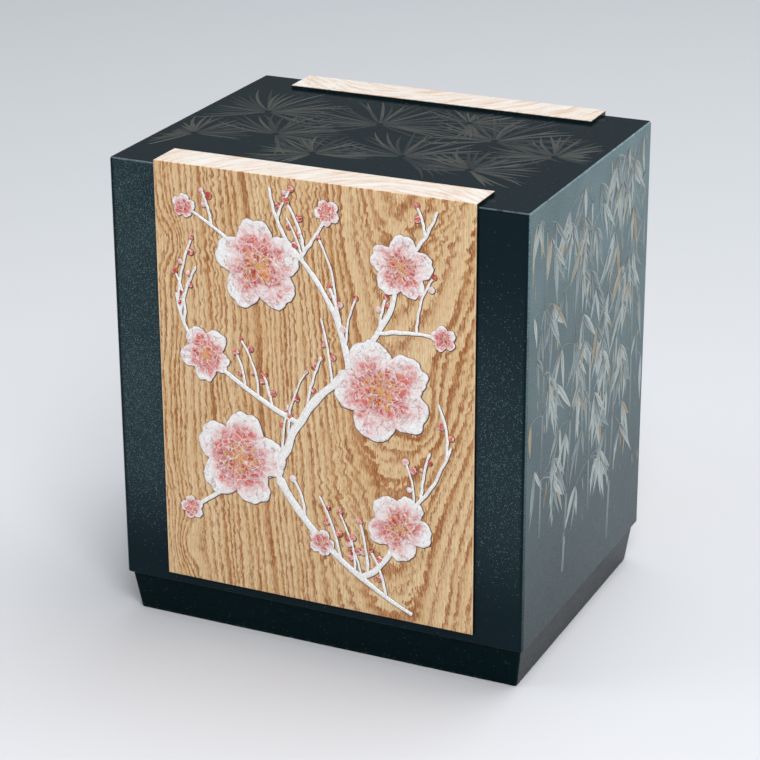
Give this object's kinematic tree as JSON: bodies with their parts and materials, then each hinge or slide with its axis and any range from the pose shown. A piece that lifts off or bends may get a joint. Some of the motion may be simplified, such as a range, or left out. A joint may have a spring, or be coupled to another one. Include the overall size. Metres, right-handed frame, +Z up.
{
  "type": "lacquer box with drawers",
  "caption": "Black lacquered ornament box on a tapered plinth, with inlaid wooden boards that lift out of the front and back, and drawers under a niche behind the front board.",
  "frame": {"origin": "on the surface that the box stands on, under the middle of the box", "axes": "+Z up, -Y towards the front, where the drawers open, +X to the right seen from the front"},
  "size_m": [0.24, 0.1866, 0.2699],
  "materials": {
    "body_lacquer": "satin blue-black lacquer dusted with fine silver powder",
    "plinth_lacquer": "satin black lacquer",
    "case_lacquer": "dark lacquer sprinkled with gold flakes",
    "drawer_front_lacquer": "polished black lacquer sprinkled with gold flakes",
    "drawer_wood": "planed pale wood",
    "board_wood": "oiled ring-porous wood, wiped smooth, with dark lacquered edges",
    "inlay_eggshell": "crackled white eggshell inlay with a coral flush",
    "inlay_branch": "white eggshell inlay with dark outlines",
    "knob_metal": "softly worn gilt brass"
  },
  "bodies": {
    "case": {"top_board": "body_lacquer", "bottom_board": "body_lacquer", "left_side": "body_lacquer", "right_side": "body_lacquer", "front_left_post": "body_lacquer", "front_right_post": "body_lacquer", "back_left_post": "body_lacquer", "back_right_post": "body_lacquer", "plinth_front": "plinth_lacquer", "plinth_back": "plinth_lacquer", "plinth_left": "plinth_lacquer", "plinth_right": "plinth_lacquer", "case_left_wall": "case_lacquer", "case_right_wall": "case_lacquer", "case_back": "case_lacquer", "niche_shelf": "case_lacquer", "drawer_shelf_1": "case_lacquer", "drawer_shelf_2": "case_lacquer"},
    "front_board": {"front_board": "board_wood", "front_inlay_blossoms": "inlay_eggshell", "front_inlay_branches": "inlay_branch"},
    "back_board": {"back_board": "board_wood", "back_inlay_blossoms": "inlay_eggshell", "back_inlay_branches": "inlay_branch"},
    "drawer_1": {"drawer_1_front": "drawer_front_lacquer", "drawer_1_left_side": "drawer_wood", "drawer_1_right_side": "drawer_wood", "drawer_1_back": "drawer_wood", "drawer_1_bottom": "drawer_wood", "drawer_1_rosette": "knob_metal", "drawer_1_knob": "knob_metal"},
    "drawer_2": {"drawer_2_front": "drawer_front_lacquer", "drawer_2_left_side": "drawer_wood", "drawer_2_right_side": "drawer_wood", "drawer_2_back": "drawer_wood", "drawer_2_bottom": "drawer_wood", "drawer_2_rosette": "knob_metal", "drawer_2_knob": "knob_metal"},
    "drawer_3": {"drawer_3_front": "drawer_front_lacquer", "drawer_3_left_side": "drawer_wood", "drawer_3_right_side": "drawer_wood", "drawer_3_back": "drawer_wood", "drawer_3_bottom": "drawer_wood", "drawer_3_rosette": "knob_metal", "drawer_3_knob": "knob_metal"}
  },
  "joints": [
    {"name": "front_board_lift", "type": "slide", "parent": "case", "child": "front_board", "axis": [0, 0, 1], "range_m": [0, 0.3]},
    {"name": "back_board_lift", "type": "slide", "parent": "case", "child": "back_board", "axis": [0, 0, 1], "range_m": [0, 0.3]},
    {"name": "drawer_1_slide", "type": "slide", "parent": "case", "child": "drawer_1", "axis": [0, -1, 0], "range_m": [0, 0.07]},
    {"name": "drawer_2_slide", "type": "slide", "parent": "case", "child": "drawer_2", "axis": [0, -1, 0], "range_m": [0, 0.07]},
    {"name": "drawer_3_slide", "type": "slide", "parent": "case", "child": "drawer_3", "axis": [0, -1, 0], "range_m": [0, 0.07]}
  ],
  "couplings": [
    {"joint": "drawer_1_slide", "follows": "front_board_lift", "ratio": 0.2333},
    {"joint": "drawer_2_slide", "follows": "front_board_lift", "ratio": 0.2333},
    {"joint": "drawer_3_slide", "follows": "front_board_lift", "ratio": 0.2333}
  ]
}
